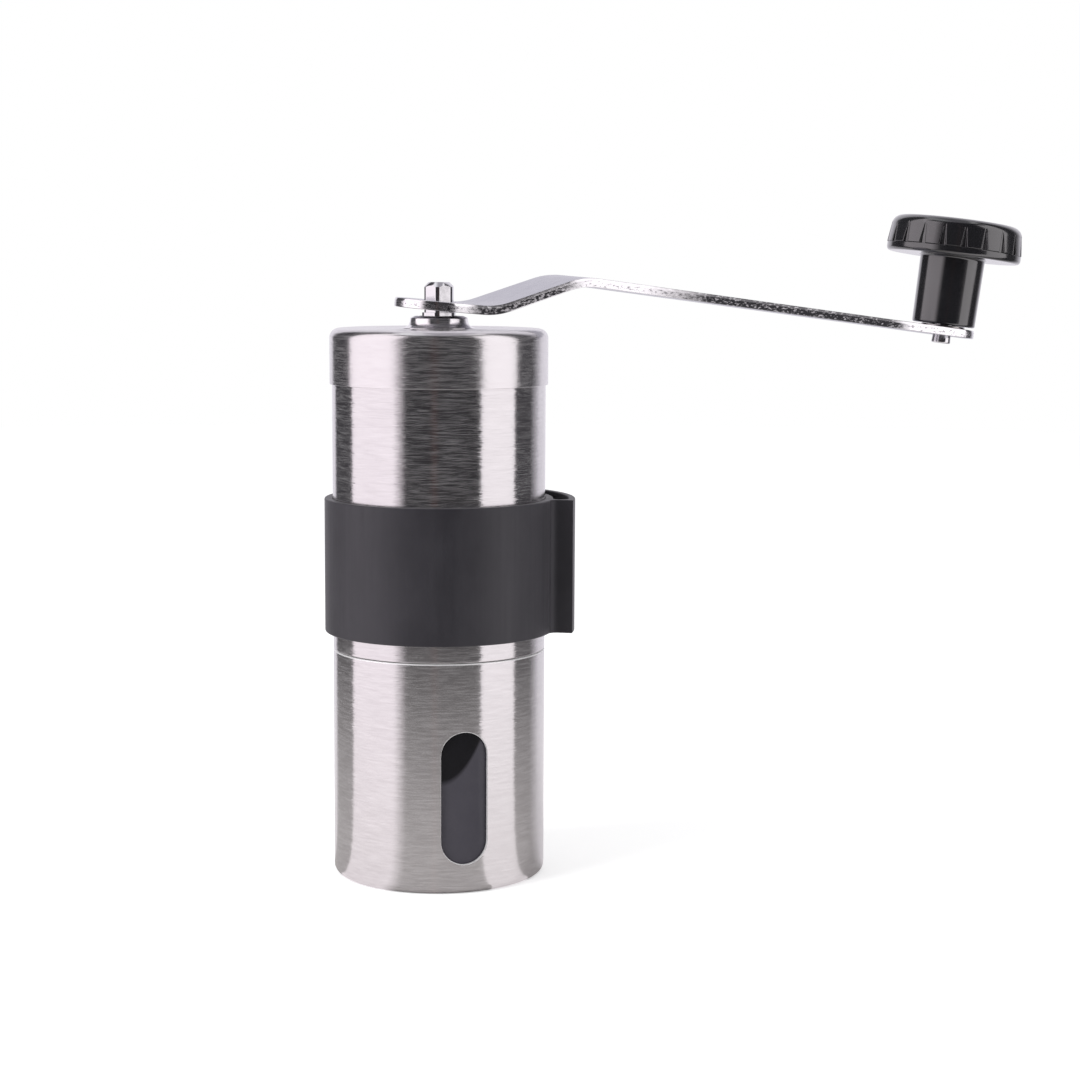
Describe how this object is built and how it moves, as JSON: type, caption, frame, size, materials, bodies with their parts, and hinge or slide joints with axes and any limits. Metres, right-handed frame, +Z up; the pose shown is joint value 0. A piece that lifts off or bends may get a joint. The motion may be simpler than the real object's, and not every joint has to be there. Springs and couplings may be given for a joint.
{
  "type": "manual coffee grinder",
  "caption": "Slim cylindrical hand crank coffee grinder: brushed steel cup with a slot window, rubber grip band with a storage loop, cone burrs, domed lid and a strip crank.",
  "frame": {"origin": "middle of the underside of the cup, on the resting plane", "axes": "+Z up along the axis of the body, -Y towards the front, the cup window turned 13.5 degrees from -Y towards +X, the crank 23.5 degrees from +X towards +Y at rest"},
  "size_m": [0.1744, 0.0994, 0.1541],
  "materials": {
    "brushed_shell": "satin",
    "polished_collar": "polished",
    "shaft_steel": "polished",
    "crank_plating": "polished",
    "knob_plastic": "gloss",
    "band_rubber": "matte",
    "liner_plastic": "gloss",
    "housing_plastic": "matte",
    "burr_ceramic": "satin",
    "bush_bronze": "satin",
    "spring_steel": "satin",
    "insert_brass": "satin"
  },
  "bodies": {
    "cup": {"cup_shell": "brushed_shell", "cup_liner": "liner_plastic"},
    "housing": {"body_tube": "brushed_shell", "grip_band": "band_rubber", "burr_housing": "housing_plastic", "hopper_bridge": "housing_plastic", "upper_bush": "bush_bronze", "lower_bush": "bush_bronze", "outer_burr": "burr_ceramic", "burr_retainer": "housing_plastic", "retainer_screws": "spring_steel"},
    "drive": {"drive_shaft": "shaft_steel", "shaft_clip": "spring_steel", "thrust_washer": "spring_steel", "burr_spring": "spring_steel"},
    "burr_carriage": {"inner_burr": "burr_ceramic", "burr_driver": "spring_steel"},
    "adjuster": {"adjuster_dial": "housing_plastic", "dial_insert": "insert_brass"},
    "arm": {"crank_arm": "crank_plating", "knob_bolt": "shaft_steel", "knob_washer": "spring_steel"},
    "knob": {"knob": "knob_plastic", "knob_cap": "knob_plastic"},
    "lid": {"lid_cover": "brushed_shell", "lid_collar": "polished_collar", "lid_liner": "housing_plastic"}
  },
  "joints": [
    {"name": "housing_lift", "type": "slide", "parent": "cup", "child": "housing", "axis": [0, 0, 1], "range_m": [0, 0.03]},
    {"name": "crank_turn", "type": "hinge", "parent": "housing", "child": "drive", "pos_m": [0, 0, 0.1], "axis": [0, 0, 1], "continuous": true},
    {"name": "burr_shift", "type": "slide", "parent": "drive", "child": "burr_carriage", "axis": [0, 0, 1], "range_m": [0, 0.00101], "deforming": ["burr_spring"]},
    {"name": "adjuster_turn", "type": "hinge", "parent": "burr_carriage", "child": "adjuster", "pos_m": [0, 0, 0.05], "axis": [0, 0, 1], "range_deg": [0, 360]},
    {"name": "arm_lift", "type": "slide", "parent": "drive", "child": "arm", "axis": [0, 0, 1], "range_m": [0, 0.03]},
    {"name": "knob_spin", "type": "hinge", "parent": "arm", "child": "knob", "pos_m": [0.12853, 0.05569, 0.12555], "axis": [0.1233, 0.0175, 0.9922], "continuous": true},
    {"name": "lid_lift", "type": "slide", "parent": "housing", "child": "lid", "axis": [0, 0, 1], "range_m": [0, 0.0301]}
  ],
  "couplings": [
    {"joint": "burr_shift", "follows": "adjuster_turn", "m_per_rad": 0.00015915},
    {"joint": "lid_lift", "follows": "arm_lift", "ratio": 1}
  ]
}
